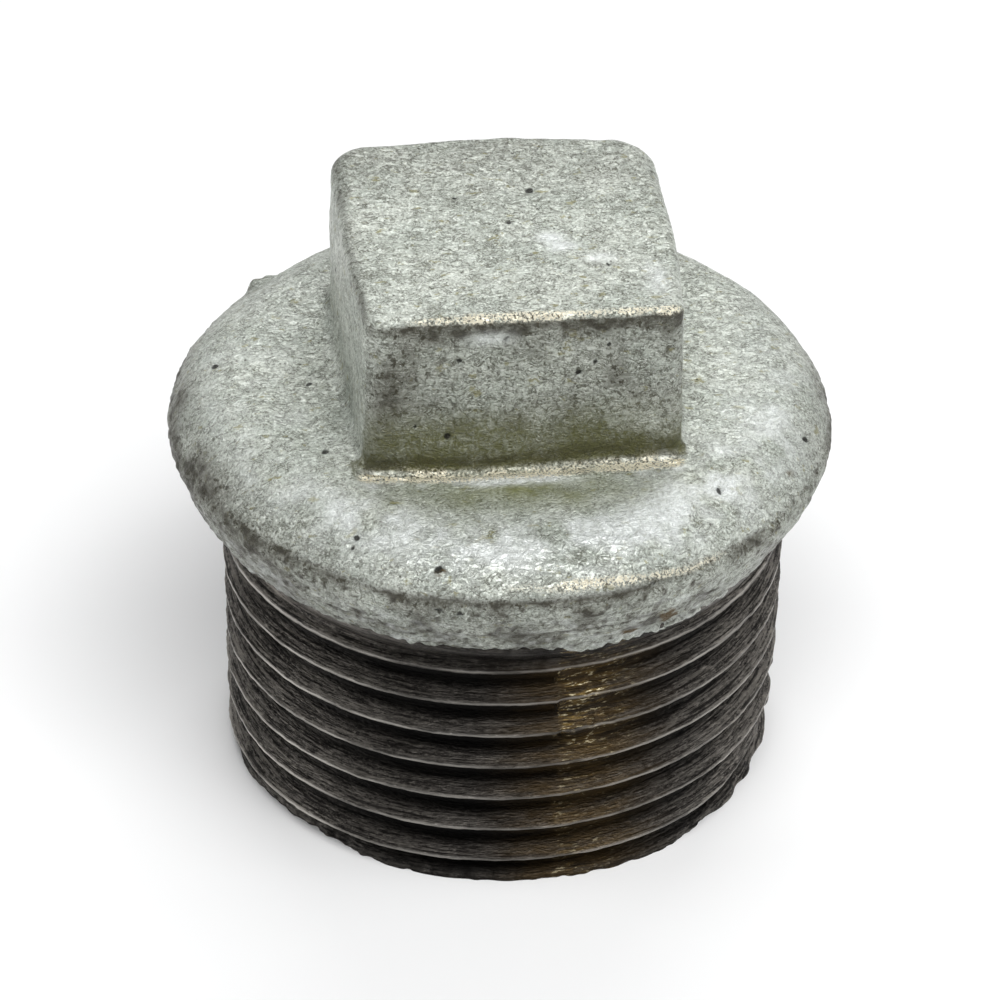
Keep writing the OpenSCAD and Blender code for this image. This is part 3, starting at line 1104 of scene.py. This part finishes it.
def iron_metal(look, bands, lines, grains, grit):
    """Colour of dry cut iron: bands, dark and light turning lines, and bright grit."""
    turning = turned_streaks(look, 3.0, 8.0, 1)
    pale = colour(146, 141, 133)
    dark = colour(12, 10, 9)
    base = look.blend(look.between(bands, 0.35, 0.65), colour(90, 86, 82), colour(136, 131, 125))
    return look.cover(base, [
        (look.between(lines, 0.35, 0.62, 0.8, 0), colour(18, 15, 14)),
        (look.between(grains, 0.53, 0.66, 0, 0.75), pale),
        (look.between(grains, 0.47, 0.36, 0, 0.70), dark),
        (look.between(grit, 0.56, 0.66, 0, 0.5), colour(150, 145, 136)),
        (look.between(turning, 0.54, 0.64, 0, 0.55), pale),
        (look.between(turning, 0.45, 0.36, 0, 0.80), dark),
    ])


def iron_look():
    """Bare cut iron: dark and oily, with turning lines, crests with a painted highlight, painted shade in
    its roots and over its front, and a torn strip with painted glints.
    """
    look = Look("bare_iron")
    lines = turned_streaks(look, 14.0, 7.0, 3)
    bands = turned_streaks(look, 4.0, 2.0, 3)
    grains = turned_streaks(look, 45.0, 8.0, 2)
    grit = look.cloud(look.place(), 9.0, 2, 0.7)
    mottle = look.cloud(look.place(), 0.9, 4, 0.6)
    metal = iron_metal(look, bands, lines, grains, grit)
    torn_glow = look.masked("tear", lines, 0.48, 0.64, 0, 0.6)
    # Painted glints on the torn strip
    painted_tear_glints = look.math("MULTIPLY", torn_glow, look.between(grains, 0.54, 0.64, 0, 1.8))
    # Painted highlight on the crests, dimmed in the painted front shade
    crest = look.masked("crest", bands, 0.35, 0.6, 0.25, 1.0)
    crest = look.math("MULTIPLY", crest, look.between(look.mask("front_shade"), 0, 1, 1, 0.45))
    base = look.cover(metal, [
        # Painted shade over the front of the thread
        (look.masked("front_shade", mottle, 0.3, 0.6, 1.0, 0.8), colour(18, 14, 10)),
        # Painted shade in the roots and at the open end
        (look.math("MULTIPLY", look.mask("thread_shade"), 0.96), colour(6, 5, 4)),
        (look.masked("oil", bands, 0.35, 0.6, 0.3, 0.8), colour(62, 47, 20)),
        (torn_glow, colour(124, 102, 54)),
        (painted_tear_glints, colour(226, 214, 178)),
        (crest, colour(184, 180, 173)),
        (look.mask("cavity"), colour(74, 62, 52)),
    ])
    roughness = look.between(grit, 0.3, 0.7, 0.36, 0.55)
    return look.finish(base, 0.8, roughness, [(lines, 0.05), (grains, 0.06)])


def floor_look():
    look = Look("studio_floor")
    dust = look.cloud(look.place(), 0.02, 2)
    shade = look.blend(dust, (0.90, 0.90, 0.90, 1), (0.93, 0.93, 0.93, 1))
    return look.finish(shade, 0.0, 0.6, [(dust, 0.001)])


# ---- studio

def make_floor():
    """Wide plain floor."""
    half = 3000 * MM
    points = [(-half, -half, 0), (half, -half, 0), (half, half, 0), (-half, half, 0)]
    mesh = bpy.data.meshes.new("floor")
    mesh.from_pydata(points, [], [(0, 1, 2, 3)])
    mesh.materials.append(floor_look())
    floor = bpy.data.objects.new("floor", mesh)
    bpy.context.scene.collection.objects.link(floor)
    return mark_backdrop(floor)


LIGHT_AIM = Vector((0, 0, 18))


def soft_light(name, place, size, power):
    """A rectangular softbox, aimed at the part. Places and sizes are in millimetres."""
    data = bpy.data.lights.new(name, "AREA")
    data.shape = "RECTANGLE"
    data.size, data.size_y = size[0] * MM, size[1] * MM
    data.energy = power
    lamp = bpy.data.objects.new(name, data)
    lamp.location = Vector(place) * MM
    lamp.rotation_euler = (LIGHT_AIM - Vector(place)).to_track_quat("-Z", "Y").to_euler()
    bpy.context.scene.collection.objects.link(lamp)


def make_lights():
    soft_light("key", (30, -180, 350), (300, 200), 1.4)
    soft_light("back", (60, 380, 260), (420, 260), 1.0)
    soft_light("left_panel", (-380, 40, 150), (220, 200), 0.38)
    soft_light("right_panel", (380, -20, 150), (220, 200), 0.38)


def make_world():
    world = bpy.data.worlds.new("studio_air")
    world.use_nodes = True
    background = world.node_tree.nodes["Background"]
    background.inputs["Color"].default_value = (0.95, 0.97, 1.0, 1)
    background.inputs["Strength"].default_value = 0.15
    bpy.context.scene.world = world


# Camera: long lens, a third of the way up, a little left of the part's front and slightly rolled
CAMERA_LENS = 274.4
CAMERA_DISTANCE = 452.7
CAMERA_UP = math.radians(35.32)
CAMERA_AROUND = math.radians(7.06)
CAMERA_ROLL = math.radians(-1.1)
AIM_HEIGHT = 14.72
AIM_BACK = 1.88
AIM_RIGHT = 0.066


def make_camera():
    """The camera that matches the photograph's view."""
    back = Vector((math.sin(CAMERA_AROUND), math.cos(CAMERA_AROUND), 0))
    right = Vector((back.y, -back.x, 0))
    forward = back * math.cos(CAMERA_UP) - Vector((0, 0, 1)) * math.sin(CAMERA_UP)
    aim = right * AIM_RIGHT + back * AIM_BACK + Vector((0, 0, AIM_HEIGHT))
    data = bpy.data.cameras.new("camera")
    data.lens = CAMERA_LENS
    data.sensor_width = 36
    data.clip_start = 0.01
    data.clip_end = 20
    camera = bpy.data.objects.new("camera", data)
    up = right.cross(forward)
    turn = Matrix.Rotation(CAMERA_ROLL, 3, forward)
    right, up = turn @ right, turn @ up
    camera.matrix_world = Matrix.Translation((aim - forward * CAMERA_DISTANCE) * MM) @ Matrix(
        (right, up, -forward)).transposed().to_4x4()
    bpy.context.scene.collection.objects.link(camera)
    bpy.context.scene.camera = camera


# ---- the part

ZINC = zinc_look()
IRON = iron_look()
PIECES = [
    (cast_head, "square_head", "zinc_coat", ZINC),
    (cast_foot, "head_foot", "zinc_coat", ZINC),
    (cast_collar, "collar", "zinc_coat", ZINC),
    (cut_neck, "neck", "bare_iron", IRON),
    (cut_shank, "shank", "bare_iron", IRON),
    (cut_thread, "male_thread", "bare_iron", IRON),
]

for build, node, slot, look in PIECES:
    piece = build()
    piece.data.materials.append(look)
    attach(piece, "root")
    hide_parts(node)

make_floor()
make_lights()
make_world()
make_camera()
bpy.context.scene.view_settings.view_transform = "Standard"
